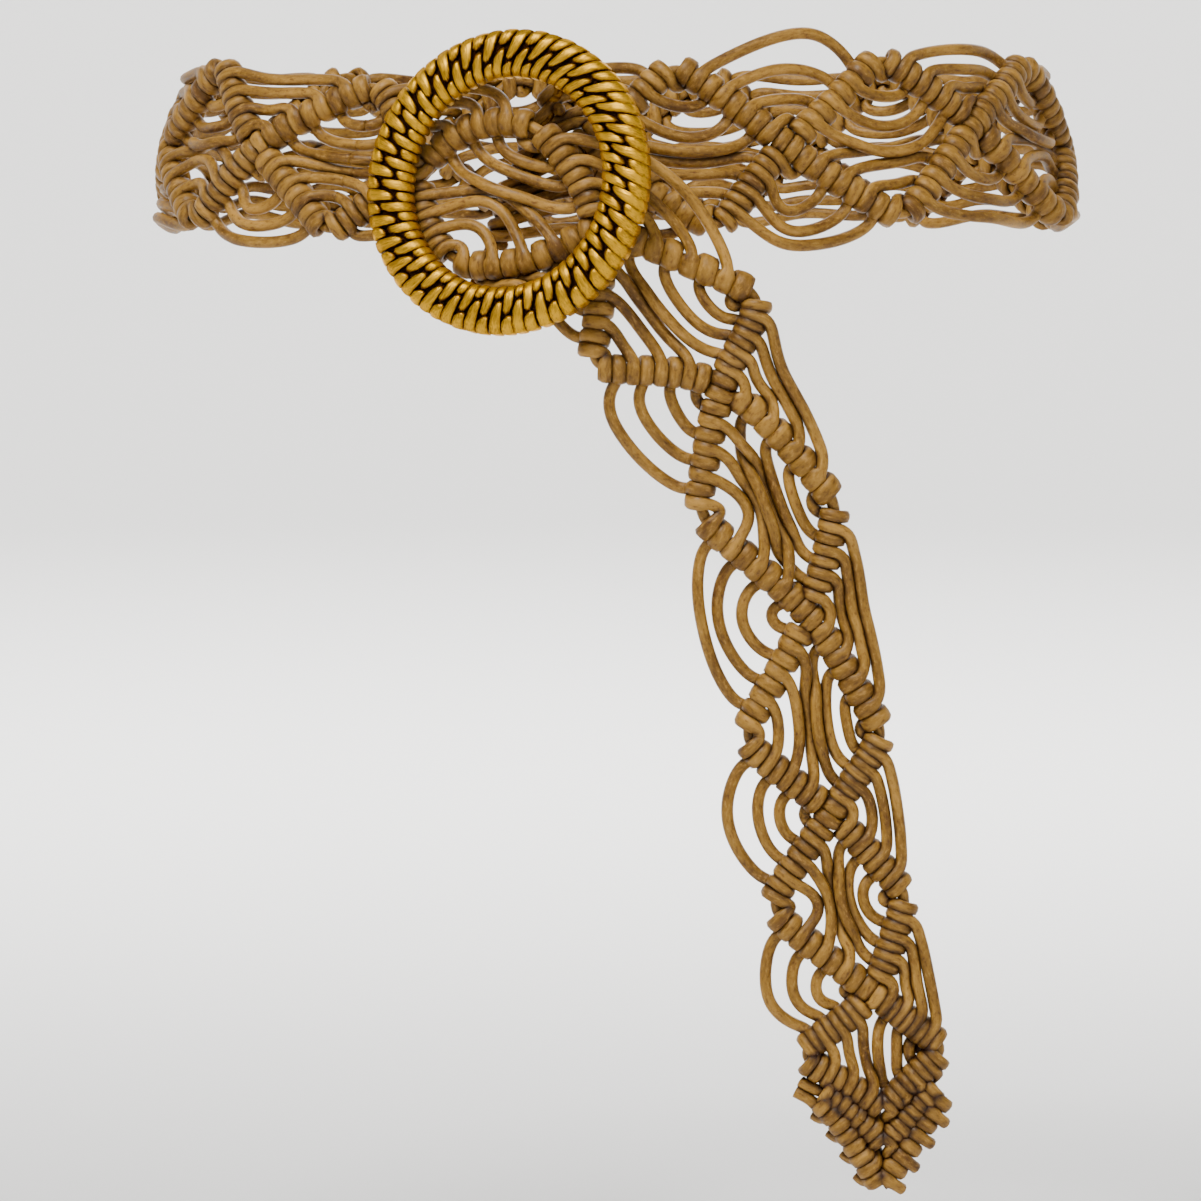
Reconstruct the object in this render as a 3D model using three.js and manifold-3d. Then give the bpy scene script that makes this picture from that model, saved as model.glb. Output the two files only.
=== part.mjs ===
// Knotted cord belt with a round slide buckle, worn round a waist.
// Sizes in mm, +Z up, the wearer's front at -Y.
import * as THREE from 'three';
import Module from 'manifold-3d';

const wasm = await Module();
wasm.setup();

// Waist loop: centre line of the strap, a level ellipse round the origin
const waistHalfWidth = 130;
const waistHalfDepth = 85;
const flareDeg = 13; // the strap leans out towards the hip
const firstCrossing = 48.2; // arc length from the front to the first crossing on the right
const lastCrossing = 107.5; // arc length from the front to the last crossing on the left
const loopCells = 9; // diamonds between those two crossings

// Strap: diamonds of knotted bars with pairs of cords between them
const halfWidth = 24; // middle to the centre line of the edge turns
const barHalf = 4.35;
const barThick = 3.3;
const pairHalf = 3.2;
const pairThick = 1.6;
const seam = 0.3; // gap between neighbouring lengths of strap

// Ring buckle
const ringOuter = 42.5;
const ringInner = 29.2;
const ringThick = 4.3; // half of its height
const ringPads = 34; // moulded pads round the outer edge
const padBulge = 0.45;
const ringTiltDeg = 26.4; // lower right side lifted off the waist
const ringTurnDeg = 22.6; // direction of that lift below the level
const ringX = -29.5;
const ringOut = 15.5; // how far its middle stands before the front of the loop
const ringZ = -9.5;
const postRadius = 2;
const postBack = 16; // middle of the hidden bar behind the ring's middle
const postShift = -5;
const sleeveWall = 2.9;
const sleeveHalf = 20;
const legSpread = 35.25; // where the legs stand on the ring, above and below its middle
const legRise = 10; // where each leg of the hidden bar leaves the ring's back, beyond the sleeve's end
const legBend = 6; // where it turns into the bar, and where the sleeve's bore ends

const cord = new THREE.MeshStandardMaterial({ color: 0xae793f, roughness: 0.55, metalness: 0 });
const gilt = new THREE.MeshStandardMaterial({ color: 0xc39a2c, roughness: 0.4, metalness: 0.3 });

const arcSteps = 720;
const arcLengths = [0];
for (let i = 1; i <= arcSteps; i += 1) {
  const a = ((i - 0.5) / arcSteps) * 2 * Math.PI;
  const step = Math.hypot(waistHalfWidth * Math.cos(a), waistHalfDepth * Math.sin(a));
  arcLengths.push(arcLengths[i - 1] + (step * 2 * Math.PI) / arcSteps);
}
const waistLength = arcLengths[arcSteps];
const cellPitch = (waistLength - firstCrossing - lastCrossing) / loopCells;

// Angle round the waist, anticlockwise from the front, at an arc length from the front
function waistAngle(length) {
  const wrapped = ((length % waistLength) + waistLength) % waistLength;
  let i = 1;
  while (arcLengths[i] < wrapped) i += 1;
  const part = (wrapped - arcLengths[i - 1]) / (arcLengths[i] - arcLengths[i - 1]);
  return ((i - 1 + part) / arcSteps) * 2 * Math.PI;
}

// Stations every half cell from the buckle's bar round the waist to the hanging tip.
// Small lifts and leans of single stations: [place, lift, lean, along]
const wander = [
  [0.5, 0.3, -5.5, 3], [1, 0.5, 0, 0], [1.5, 2.9, -1.1, 2], [2, 6.5, 0, 1], [2.5, 2, -2, 3.5],
  [9, 0, 0, 7], [9.5, 1.3, 0, 8],
];
// The free end, from the left side through the ring to the tip: [x, out, z, wx, wy, wz], out counted
// forward from the front of the loop, w the half width as a share of the strap's
const freeEnd = [
  [-73.7, -14.8, -3.1, 0.3, 0.19, 0.9],
  [-54.8, -6, -6.7, 0.42, 0.03, 0.86],
  [-33.2, 7.5, -12.7, 0.51, -0.13, 0.79],
  [-5.5, 17.5, -23, 0.75, -0.04, 0.61],
  [16.2, 21, -49.7, 0.98, 0.02, 0.42],
  [29.3, 20, -65.5, 0.92, 0, 0.24],
  [42, 16.5, -99.3, 0.82, 0, 0.08],
  [53.5, 14, -128.7, 0.83, 0, 0.06],
  [55.1, 13, -162.1, 0.84, 0, 0.03],
  [60.3, 12, -184.5, 0.83, 0, 0.05],
  [62.4, 12, -209.3, 0.82, 0, 0.08],
  [71.7, 12, -234.7, 0.84, 0, 0.06],
  [71.8, 12, -251.5, 0.86, 0, 0.04],
  [75, 12, -268.1, 0.86, 0, 0.04],
  [74.7, 12, -291.1, 0.86, 0, 0.04],
  [74.5, 12, -314, 0.86, 0, 0.04],
];
const firstPlace = -1;
const lastLoopPlace = 1 + loopCells;
const stations = [];
for (let place = firstPlace; place <= lastLoopPlace; place += 0.5) {
  const [, lift, lean, along] = wander.find((row) => row[0] === place) ?? [place, 0, 0, 0];
  const a = waistAngle(firstCrossing + (place - 1) * cellPitch + along);
  const flare = THREE.MathUtils.degToRad(flareDeg);
  const outward = new THREE.Vector3(waistHalfDepth * Math.sin(a), -waistHalfWidth * Math.cos(a), 0)
    .normalize();
  const onward = new THREE.Vector3(-outward.y, outward.x, 0);
  const across = outward.clone().multiplyScalar(-Math.sin(flare)).setZ(Math.cos(flare));
  stations.push({
    middle: new THREE.Vector3(waistHalfWidth * Math.sin(a), -waistHalfDepth * Math.cos(a), lift),
    half: across.multiplyScalar(halfWidth).addScaledVector(onward, lean),
  });
}
for (const [x, out, z, wx, wy, wz] of freeEnd) {
  stations.push({
    middle: new THREE.Vector3(x, -waistHalfDepth - out, z),
    half: new THREE.Vector3(wx, wy, wz).multiplyScalar(halfWidth),
  });
}

// Smooth curve through the stations
function between(place, key) {
  const t = (place - firstPlace) * 2;
  const i = Math.min(Math.max(Math.floor(t), 1), stations.length - 3);
  const f = t - i;
  const [a, b, c, d] = [-1, 0, 1, 2].map((k) => stations[i + k][key]);
  return new THREE.Vector3()
    .addScaledVector(a, (-f + 2 * f * f - f * f * f) / 2)
    .addScaledVector(b, (2 - 5 * f * f + 3 * f * f * f) / 2)
    .addScaledVector(c, (f + 4 * f * f - 3 * f * f * f) / 2)
    .addScaledVector(d, (f * f * f - f * f) / 2);
}

const small = 0.01;
function strapFrame(place) {
  const middle = between(place, 'middle');
  const half = between(place, 'half');
  const onward = between(place + small, 'middle').sub(between(place - small, 'middle'));
  const across = half.clone().normalize();
  return { middle, half, across, out: onward.cross(across).normalize() };
}

const sixSides = [[1, 0], [0.6, 1], [-0.6, 1], [-1, 0], [-0.6, -1], [0.6, -1]];
const fourSides = [[1, 0.8], [-1, 0.8], [-1, -0.8], [1, -0.8]];

function solid(points, faces) {
  const vertProperties = new Float32Array(points);
  return new wasm.Manifold(new wasm.Mesh({ numProp: 3, vertProperties, triVerts: new Uint32Array(faces) }));
}

// Closed skin over rings of equal counts, the last ring joined to the first when it is a loop
function skin(rings, loop) {
  const n = rings[0].length;
  const faces = [];
  const spans = loop ? rings.length : rings.length - 1;
  for (let i = 0; i < spans; i += 1) {
    const next = (i + 1) % rings.length;
    for (let j = 0; j < n; j += 1) {
      const k = (j + 1) % n;
      faces.push(i * n + j, i * n + k, next * n + k, i * n + j, next * n + k, next * n + j);
    }
  }
  if (!loop) {
    const last = (rings.length - 1) * n;
    for (let j = 1; j < n - 1; j += 1) faces.push(0, j + 1, j, last, last + j, last + j + 1);
  }
  return solid(rings.flat().flatMap((p) => [p.x, p.y, p.z]), faces);
}

// A bar or pair of cords along rows of [place, across in mm], its ends cut square to the strap
function strand(rows, half, thick, sides) {
  const frames = rows.map(([place]) => strapFrame(place));
  const rings = rows.map(([, across], i) => {
    const a = Math.max(i - 1, 0);
    const b = Math.min(i + 1, rows.length - 1);
    const run = frames[b].middle.distanceTo(frames[a].middle);
    const wide = half * Math.hypot(1, (rows[b][1] - rows[a][1]) / run);
    const { middle, half: side, across: dir, out } = frames[i];
    return sides.map(([v, h]) => middle.clone().addScaledVector(side, across / halfWidth)
      .addScaledVector(dir, v * wide).addScaledVector(out, h * thick));
  });
  return skin(rings, false);
}
const bar = (rows) => strand(rows, barHalf, barThick, sixSides);
const pair = (rows) => strand(rows, pairHalf, pairThick, fourSides);
const scaled = (rows, side) => rows.map(([place, share]) => [place, share * side * halfWidth]);

// Shares of the half width at which the edge pairs pass a crossing: [outer, inner], and the few loose ones
const edgeShares = [0.88, 0.47];
const looseEdges = [[1, 1, 1.18, 0.72], [13, 1, 1.05, 0.55], [14, 1, 1.0, 0.5]];
function edges(crossing, side) {
  const found = looseEdges.find((row) => row[0] === crossing && row[1] === side);
  return found ? found.slice(2) : edgeShares;
}

const cut = seam / cellPitch / 2;
const join = (parts) => wasm.Manifold.union(parts);

// One diamond with the halves of the edge loops beside it
function cell(k) {
  const from = k + cut;
  const to = k + 1 - cut;
  const parts = [];
  for (const side of [1, -1]) {
    parts.push(bar(scaled([[from, 0], [k + 0.25, 0.51], [k + 0.5, 0.97], [k + 0.75, 0.51], [to, 0]], side)));
    parts.push(pair(scaled([[k + 0.38, 0.76], [k + 0.5, 0.69], [k + 0.62, 0.76]], side)));
    parts.push(pair(scaled([[k + 0.21, 0.42], [k + 0.4, 0.26], [k + 0.6, 0.26], [k + 0.79, 0.42]], side)));
    const [outA, inA] = edges(k, side);
    const [outB, inB] = edges(k + 1, side);
    parts.push(pair(scaled([[from, outA], [k + 0.22, outA * 0.6 + 0.37], [k + 0.43, 0.93]], side)));
    parts.push(pair(scaled([[from, inA], [k + 0.26, 0.54]], side)));
    parts.push(pair(scaled([[k + 0.57, 0.93], [k + 0.78, outB * 0.6 + 0.37], [to, outB]], side)));
    parts.push(pair(scaled([[k + 0.74, 0.54], [to, inB]], side)));
  }
  return join(parts);
}

// Ring frame: first along the lift, second along the hidden bar, third towards the viewer
const tilt = THREE.MathUtils.degToRad(ringTiltDeg);
const turn = THREE.MathUtils.degToRad(ringTurnDeg);
const ringAlong = new THREE.Vector3(
  Math.cos(turn) * Math.cos(tilt), -Math.sin(tilt), -Math.sin(turn) * Math.cos(tilt));
const ringUp = new THREE.Vector3(Math.sin(turn), 0, Math.cos(turn));
const ringFacing = ringAlong.clone().cross(ringUp);
const ringMiddle = new THREE.Vector3(ringX, -waistHalfDepth - ringOut, ringZ);
const inRing = (along, up, facing) => ringMiddle.clone().addScaledVector(ringAlong, along)
  .addScaledVector(ringUp, up).addScaledVector(ringFacing, facing);

function fromGeometry(geometry) {
  const flat = geometry.index ? geometry.toNonIndexed() : geometry;
  const places = new Map();
  const points = [];
  const faces = [];
  const p = flat.getAttribute('position');
  for (let i = 0; i < p.count; i += 1) {
    const key = [p.getX(i), p.getY(i), p.getZ(i)].map((x) => x.toFixed(4)).join();
    if (!places.has(key)) {
      places.set(key, points.length / 3);
      points.push(p.getX(i), p.getY(i), p.getZ(i));
    }
    faces.push(places.get(key));
  }
  const kept = [];
  for (let i = 0; i < faces.length; i += 3) {
    const [a, b, c] = faces.slice(i, i + 3);
    if (a !== b && b !== c && a !== c) kept.push(a, b, c);
  }
  return solid(points, kept);
}

function rod(points, radius, steps, radial) {
  const circle = new THREE.Shape();
  circle.absarc(0, 0, radius, 0, 2 * Math.PI);
  const path = points.length === 2 ? new THREE.LineCurve3(...points)
    : new THREE.CatmullRomCurve3(points, false, 'catmullrom', 0.4);
  return fromGeometry(new THREE.ExtrudeGeometry(circle, {
    steps, bevelEnabled: false, curveSegments: radial, extrudePath: path,
  }));
}

function buckle() {
  const section = [[1, 0], [0.75, -0.7], [-0.75, -0.7], [-1, 0], [-0.72, 0.68], [0, 1], [0.72, 0.68]];
  const mid = (ringOuter + ringInner) / 2;
  const wide = (ringOuter - ringInner) / 2;
  const rings = [];
  for (let i = 0; i < ringPads * 2; i += 1) {
    const a = (i / (ringPads * 2)) * 2 * Math.PI;
    const bulge = i % 2 ? padBulge : -padBulge;
    rings.push(section.map(([r, h]) => {
      const reach = mid + r * wide + Math.max(r, 0) * bulge;
      return inRing(reach * Math.cos(a), reach * Math.sin(a), h * ringThick);
    }));
  }
  const leg = [[legSpread, 0], [legSpread, 0.6], [sleeveHalf + legRise, 1], [sleeveHalf + legBend, 1]];
  const staple = rod([...leg, ...leg.toReversed().map(([up, deep]) => [-up, deep])]
    .map(([up, deep]) => inRing(postShift, up, -postBack * deep)), postRadius, 16, 4);
  return join([skin(rings, true), staple]);
}

// The fixed end: the first crossing's cords gathered to a sleeve round the bar
function fixedEnd() {
  const ends = (reach) => [inRing(postShift, -reach, -postBack), inRing(postShift, reach, -postBack)];
  const sleeve = rod(ends(sleeveHalf), postRadius + sleeveWall, 1, 6);
  const bore = rod(ends(sleeveHalf + legBend), postRadius + seam, 1, 6);
  const to = -cut;
  const parts = [
    sleeve,
    bar(scaled([[-0.16, 0.26], [to, 0]], 1)),
    bar(scaled([[-0.33, 0.66], [-0.16, 0.33], [to, 0]], -1)),
    pair(scaled([[-0.13, 0.36], [-0.06, 0.66], [to, 0.88]], 1)),
    pair(scaled([[-0.14, 0.26], [to, 0.47]], 1)),
    pair(scaled([[-0.4, 0.95], [-0.2, 0.9], [to, 0.88]], -1)),
    pair(scaled([[-0.26, 0.5], [to, 0.47]], -1)),
  ];
  return join(parts).subtract(bore);
}

// The tip: the last diamond, closed by two more rows of knots
function tip(k) {
  const parts = [];
  const from = k + cut;
  for (const side of [1, -1]) {
    const row = [[from, 0], [k + 0.25, 0.51], [k + 0.5, 0.97], [k + 0.75, 0.51], [k + 1.02, -0.06]];
    parts.push(bar(scaled(row, side)));
    parts.push(pair(scaled([[from, edgeShares[0]], [k + 0.22, 0.9], [k + 0.43, 0.93]], side)));
    parts.push(pair(scaled([[from, edgeShares[1]], [k + 0.26, 0.54]], side)));
    parts.push(pair(scaled([[k + 0.3, 0.6], [k + 0.5, 0.5], [k + 0.7, 0.6]], side)));
    parts.push(bar(scaled([[k + 0.7, 0.93], [k + 0.97, 0.47], [k + 1.26, -0.06]], side)));
    parts.push(bar(scaled([[k + 0.88, 0.8], [k + 1.18, 0.4], [k + 1.47, -0.06]], side)));
  }
  return join(parts);
}

function named(name, body, material) {
  const mesh = body.getMesh();
  const geometry = new THREE.BufferGeometry();
  geometry.setAttribute('position', new THREE.Float32BufferAttribute(mesh.vertProperties, 3));
  geometry.setIndex([...mesh.triVerts]);
  geometry.computeVertexNormals();
  const node = new THREE.Mesh(geometry, material);
  node.name = name;
  return node;
}

const group = new THREE.Group();
group.name = 'knotted_belt';
group.add(named('buckle_ring', buckle(), gilt));
group.add(named('strap_fixed_end', fixedEnd(), cord));
const tailCells = 4;
const ringCells = 2;
for (let k = 0; k <= loopCells; k += 1) group.add(named(`waist_strap_${k + 1}`, cell(k), cord));
for (let k = 0; k < ringCells; k += 1) group.add(named(`ring_strap_${k + 1}`, cell(lastLoopPlace + k), cord));
for (let k = 0; k < tailCells; k += 1) {
  group.add(named(`tail_strap_${k + 1}`, cell(lastLoopPlace + ringCells + k), cord));
}
group.add(named('tail_tip', tip(lastLoopPlace + ringCells + tailCells), cord));

export default group;
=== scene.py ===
import math
import bmesh
import bpy
import numpy as np
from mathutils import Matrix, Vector
from mathutils.kdtree import KDTree


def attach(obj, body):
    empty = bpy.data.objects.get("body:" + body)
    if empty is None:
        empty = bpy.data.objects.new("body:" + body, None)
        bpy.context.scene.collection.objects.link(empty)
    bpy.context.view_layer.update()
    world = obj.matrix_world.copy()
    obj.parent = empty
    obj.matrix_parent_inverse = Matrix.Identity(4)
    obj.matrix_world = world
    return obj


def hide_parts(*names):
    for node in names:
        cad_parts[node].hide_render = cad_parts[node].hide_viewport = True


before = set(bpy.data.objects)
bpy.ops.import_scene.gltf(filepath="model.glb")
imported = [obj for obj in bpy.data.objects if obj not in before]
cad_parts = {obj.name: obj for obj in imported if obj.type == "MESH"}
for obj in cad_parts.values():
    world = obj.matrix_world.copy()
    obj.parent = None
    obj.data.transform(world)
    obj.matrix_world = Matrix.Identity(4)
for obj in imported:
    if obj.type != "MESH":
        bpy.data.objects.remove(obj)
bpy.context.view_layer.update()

# Camera. The belt is looked at from the front, level with the waist and tipped down to the middle of the
# picture. One pixel is 0.28 mm at the front of the waist loop.
MM = 0.001
LENS_MM = 161.3
CAMERA_PLACE, CAMERA_AIM = (0.0, -1.585, 0.0), (-0.0041, -0.085, -0.1262)
camera_data = bpy.data.cameras.new("front_camera")
camera_data.sensor_width = 36.0
camera_data.lens = LENS_MM
camera = bpy.data.objects.new("front_camera", camera_data)
camera.location = CAMERA_PLACE
camera.rotation_euler = (Vector(CAMERA_AIM) - camera.location).to_track_quat("-Z", "Y").to_euler()
bpy.context.scene.collection.objects.link(camera)
bpy.context.scene.camera = camera


# Stage. A pale matt floor under the hanging belt, a pale surround and broad soft lamps above the front, so that
# the round cords keep a gentle sheen on their upper sides.
def linear(hex_colour):
    parts = [int(hex_colour[i:i + 2], 16) / 255 for i in (1, 3, 5)]
    return tuple(c / 12.92 if c <= 0.04045 else ((c + 0.055) / 1.055) ** 2.4 for c in parts) + (1.0,)


def add_node(tree, kind, settings=(), links=()):
    node = tree.nodes.new(kind)
    for name, value in dict(settings).items():
        if isinstance(name, str) and hasattr(node, name):
            setattr(node, name, value)
        else:
            node.inputs[name].default_value = value
    for socket, source in dict(links).items():
        tree.links.new(source, node.inputs[socket])
    return node


def new_material(name, base_colour, roughness):
    material = bpy.data.materials.new(name)
    material.use_nodes = True
    shader = material.node_tree.nodes["Principled BSDF"]
    shader.inputs["Base Color"].default_value = linear(base_colour)
    shader.inputs["Roughness"].default_value = roughness
    return material, material.node_tree, shader


def show(name, mesh, *materials):
    for material in materials:
        mesh.materials.append(material)
    piece = bpy.data.objects.new(name, mesh)
    bpy.context.scene.collection.objects.link(piece)
    return piece


# painted board, so it scatters evenly and has no gloss
floor_paint, _, floor_shader = new_material("matt_painted_board", "#f3f2f0", 0.9)
floor_shader.inputs["Specular IOR Level"].default_value = 0.1
# in metres: depth under the waist, radius of the flat part, radius of the curve up to the wall, the wall's top
FLOOR_DROP, FLOOR_REACH, SWEEP, WALL_TOP = 0.36, 3.6, 1.4, 3.6
shape = bmesh.new()
middle = shape.verts.new((0, 0, -FLOOR_DROP))
profile = [middle]
for a in range(0, 91, 10):
    reach, rise = SWEEP * math.sin(math.radians(a)), SWEEP - SWEEP * math.cos(math.radians(a))
    profile.append(shape.verts.new((FLOOR_REACH + reach, 0, rise - FLOOR_DROP)))
profile.append(shape.verts.new((FLOOR_REACH + SWEEP, 0, WALL_TOP)))
rim = [shape.edges.new(pair) for pair in zip(profile, profile[1:])]
bmesh.ops.spin(shape, geom=profile + rim, cent=(0, 0, 0), axis=(0, 0, 1), dvec=(0, 0, 0),
               angle=2 * math.pi, steps=96, use_merge=True)
bmesh.ops.remove_doubles(shape, verts=shape.verts, dist=1e-4)
bmesh.ops.recalc_face_normals(shape, faces=shape.faces)
bmesh.ops.reverse_faces(shape, faces=shape.faces)
for face in shape.faces:
    face.smooth = True
floor_mesh = bpy.data.meshes.new("floor")
shape.to_mesh(floor_mesh)
shape.free()
floor = show("floor", floor_mesh, floor_paint)

world = bpy.data.worlds.new("studio")
bpy.context.scene.world = world
world.use_nodes = True
world.node_tree.nodes["Background"].inputs["Color"].default_value = linear("#f1f2f4")
world.node_tree.nodes["Background"].inputs["Strength"].default_value = 0.33


def add_lamp(name, place, aim_at, power, width):
    lamp = bpy.data.lights.new(name, "AREA")
    lamp.shape, lamp.size, lamp.energy = "DISK", width, power
    holder = bpy.data.objects.new(name, lamp)
    holder.location = place
    holder.rotation_euler = (Vector(aim_at) - Vector(place)).to_track_quat("-Z", "Y").to_euler()
    bpy.context.scene.collection.objects.link(holder)


# place, point aimed at, power in watts and width in metres
add_lamp("overhead_softbox", (-0.45, -1.0, 1.5), (0, 0, -0.08), 38.0, 0.6)
add_lamp("front_softbox", (0.9, -1.9, 0.5), (0, 0, -0.08), 6.0, 1.2)
add_lamp("back_softbox", (0.3, 1.4, 1.0), (0, 0, -0.08), 7.0, 1.0)
add_lamp("backdrop_softbox", (0, 0.9, 1.9), (0, 3.4, 0.95), 260.0, 1.4)


# Strap, its lie. The belt is one band about 55 mm wide, knotted by hand from ten round waxed cotton cords, in
# open diamonds. Here is the line that it follows: round the waist, through the ring and down to the tip. Lengths
# are in mm, and places count diamonds: a whole number is a crossing, a half is the middle of a diamond.
WAIST_HALF_WIDTH, WAIST_HALF_DEPTH = 130.0, 85.0
# half the width between the middles of its outermost knots, and how far its lower edge flares from the waist
HALF_WIDTH = 24.0
FLARE = math.radians(13)
# round the waist from the middle of the front: to crossing 1 on its right, and back from crossing 10 on its left
FIRST_CROSSING, LAST_CROSSING, LOOP_CELLS = 48.2, 107.5, 9
FIRST_PLACE = -1.0
# where the loop isn't quite even: lifted, upper edge shifted along the strap, whole place shifted along
WANDER = {0.5: (0.3, -5.5, 3), 1: (0.5, 0, 0), 1.5: (2.9, -1.1, 2), 2: (6.5, 0, 1), 2.5: (2, -2, 3.5),
          9: (0, 0, 7), 9.5: (1.3, 0, 8)}
# every half place from 10.5 to the tip: x, out from the front of the waist, z, then the x, y and z of the way
# across the strap, in shares of its half width
FREE_END = [
    (-73.7, -14.8, -3.1, 0.3, 0.19, 0.9), (-54.8, -6, -6.7, 0.42, 0.03, 0.86),
    (-33.2, 7.5, -12.7, 0.51, -0.13, 0.79), (-5.5, 17.5, -23, 0.75, -0.04, 0.61),
    (16.2, 21, -49.7, 0.98, 0.02, 0.42), (29.3, 20, -65.5, 0.92, 0, 0.24),
    (42, 16.5, -99.3, 0.82, 0, 0.08), (53.5, 14, -128.7, 0.83, 0, 0.06),
    (55.1, 13, -162.1, 0.84, 0, 0.03), (60.3, 12, -184.5, 0.83, 0, 0.05),
    (62.4, 12, -209.3, 0.82, 0, 0.08), (71.7, 12, -234.7, 0.84, 0, 0.06),
    (71.8, 12, -251.5, 0.86, 0, 0.04), (75, 12, -268.1, 0.86, 0, 0.04),
    (74.7, 12, -291.1, 0.86, 0, 0.04), (74.5, 12, -314, 0.86, 0, 0.04)]


def unit(vectors):
    """The same directions, one long."""
    return vectors / np.linalg.norm(vectors, axis=-1, keepdims=True)


turns = (np.arange(720) + 0.5) / 720 * 2 * np.pi
waist_arc = np.concatenate([[0], np.cumsum(
    np.hypot(WAIST_HALF_WIDTH * np.cos(turns), WAIST_HALF_DEPTH * np.sin(turns)) * 2 * np.pi / 720)])
cell_pitch = (waist_arc[-1] - FIRST_CROSSING - LAST_CROSSING) / LOOP_CELLS
middles, halves = [], []
for place in np.arange(FIRST_PLACE, LOOP_CELLS + 1.25, 0.5):
    lift, lean, along = WANDER.get(float(place), (0, 0, 0))
    reach = (FIRST_CROSSING + (place - 1) * cell_pitch + along) % waist_arc[-1]
    a = np.interp(reach, waist_arc, np.linspace(0, 2 * np.pi, 721))
    outward = unit(np.array([WAIST_HALF_DEPTH * np.sin(a), -WAIST_HALF_WIDTH * np.cos(a), 0]))
    onward = np.array([-outward[1], outward[0], 0])
    middles.append([WAIST_HALF_WIDTH * np.sin(a), -WAIST_HALF_DEPTH * np.cos(a), lift])
    halves.append(HALF_WIDTH * (np.array([0, 0, math.cos(FLARE)]) - math.sin(FLARE) * outward) + lean * onward)
for x, out, z, wx, wy, wz in FREE_END:
    middles.append([x, -WAIST_HALF_DEPTH - out, z])
    halves.append([wx * HALF_WIDTH, wy * HALF_WIDTH, wz * HALF_WIDTH])
middles, halves = np.array(middles), np.array(halves)


def between(places, rows):
    """A smooth curve through the rows, which lie half a place apart."""
    t = (np.asarray(places, float) - FIRST_PLACE) * 2
    i = np.clip(np.floor(t).astype(int), 1, len(rows) - 3)
    f = (t - i)[..., None]
    return (rows[i - 1] * (2 * f * f - f - f ** 3) + rows[i] * (2 - 5 * f * f + 3 * f ** 3)
            + rows[i + 1] * (f + 4 * f * f - 3 * f ** 3) + rows[i + 2] * (f ** 3 - f * f)) / 2


def strap_axes(places):
    """The way along the strap and the way out from its face."""
    onward = unit(between(places + 0.01, middles) - between(places - 0.01, middles))
    return onward, unit(np.cross(onward, between(places, halves)))


def on_strap(places, across, out=0.0):
    """Points on the strap: place along it, mm across from its middle line, mm out from its face."""
    places, across, out = np.broadcast_arrays(*(np.asarray(v, float) for v in (places, across, out)))
    return (between(places, middles) + between(places, halves) * (across / HALF_WIDTH)[..., None]
            + strap_axes(places)[1] * out[..., None])


# Strap, its knots. Each side of a diamond is a row of four double half hitches: a working cord goes twice round
# the cord that carries the row, so that eight flattened turns lie side by side. The turns are pulled tight.
CORD_RADIUS = 1.7
# the share of its thickness that a tight turn keeps
FLAT = 0.80
# length of a row without hitches at the crossing and at the corner, and at the middle in the tip's close rows
CROSSING_ROOM, CORNER_ROOM, TIP_ROOM = 4.0, 1.9, 0.8
# size of the hitches in the tip's close rows, against 1 elsewhere
TIP_TIGHT = 0.9
# one hitch from the end that runs smoothly on to its first turn to the end that is tucked under: across the
# row, out from the strap, along the row in shares of a turn's width, share of flattening
HITCH = np.array([
    (3.7, 1.75, 0.58, 0.2), (2.6, 2.45, 0.55, 0.7), (1.0, 2.85, 0.52, 1), (-0.9, 2.8, 0.5, 1),
    (-2.4, 1.8, 0.48, 1), (-3.0, 0.1, 0.45, 1), (-2.5, -1.6, 0.3, 1), (-0.9, -2.65, 0.1, 1),
    (0.9, -2.65, -0.1, 1),
    (2.5, -1.6, -0.3, 1), (3.0, 0.1, -0.43, 1), (2.4, 1.8, -0.47, 1), (0.8, 2.75, -0.5, 1),
    (-0.8, 2.75, -0.52, 1), (-2.4, 1.75, -0.54, 1), (-3.0, 0.2, -0.5, 1), (-2.95, -1.4, -0.3, 0.7),
    (-3.8, -2.3, -0.04, 0.2)])
chance = np.random.default_rng(11)
# rows that curve outwards, by how many mm half way. A row is named by its diamond, its side (1 upper, -1 lower)
# and whether it leads from the crossing to the corner or from the corner on to the next crossing.
CURVED = {(11, 1, True): 5.0, (11, 1, False): 1.5, (11, -1, True): 2.5, (11, -1, False): 6.5}
# the last fifth of a row is drawn in by this share of the half width
CORNER_DRAWN_IN = 0.035


def row_of_knots(k, side, rising):
    """Middle line of one side of a diamond from its crossing to its corner, every half millimetre or so."""
    share = np.linspace(0, 1, 81)
    start = k if rising else k + 1
    places = start + (k + 0.5 - start) * share
    across = side * HALF_WIDTH * (share - CORNER_DRAWN_IN * np.maximum(share - 0.8, 0) * 5)
    points = on_strap(places, across)
    return laid_row(points, places, on_strap(k + 0.5, 0), CURVED.get((k, side, rising), 0.0))


def laid_row(points, places, inside, curve=0.0):
    """A row's length, points, direction, outward face and the way towards a point inside its diamond."""
    axis = unit(np.gradient(points, axis=0))
    out = strap_axes(places)[1]
    away = unit(np.cross(out, axis))
    away *= -np.sign(np.dot(away[len(away) // 2], inside - points[len(away) // 2]))
    points = points + away * curve * np.sin(np.linspace(0, np.pi, len(points)))[:, None]
    run = np.concatenate([[0], np.cumsum(np.linalg.norm(np.diff(points, axis=0), axis=1))])
    axis = unit(np.gradient(points, axis=0))
    out = unit(out - axis * np.sum(out * axis, axis=1, keepdims=True))
    inward = np.cross(out, axis)
    middle = len(points) // 2
    return run, points, axis, out, inward * np.sign(np.dot(inward[middle], inside - points[middle]))


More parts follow.
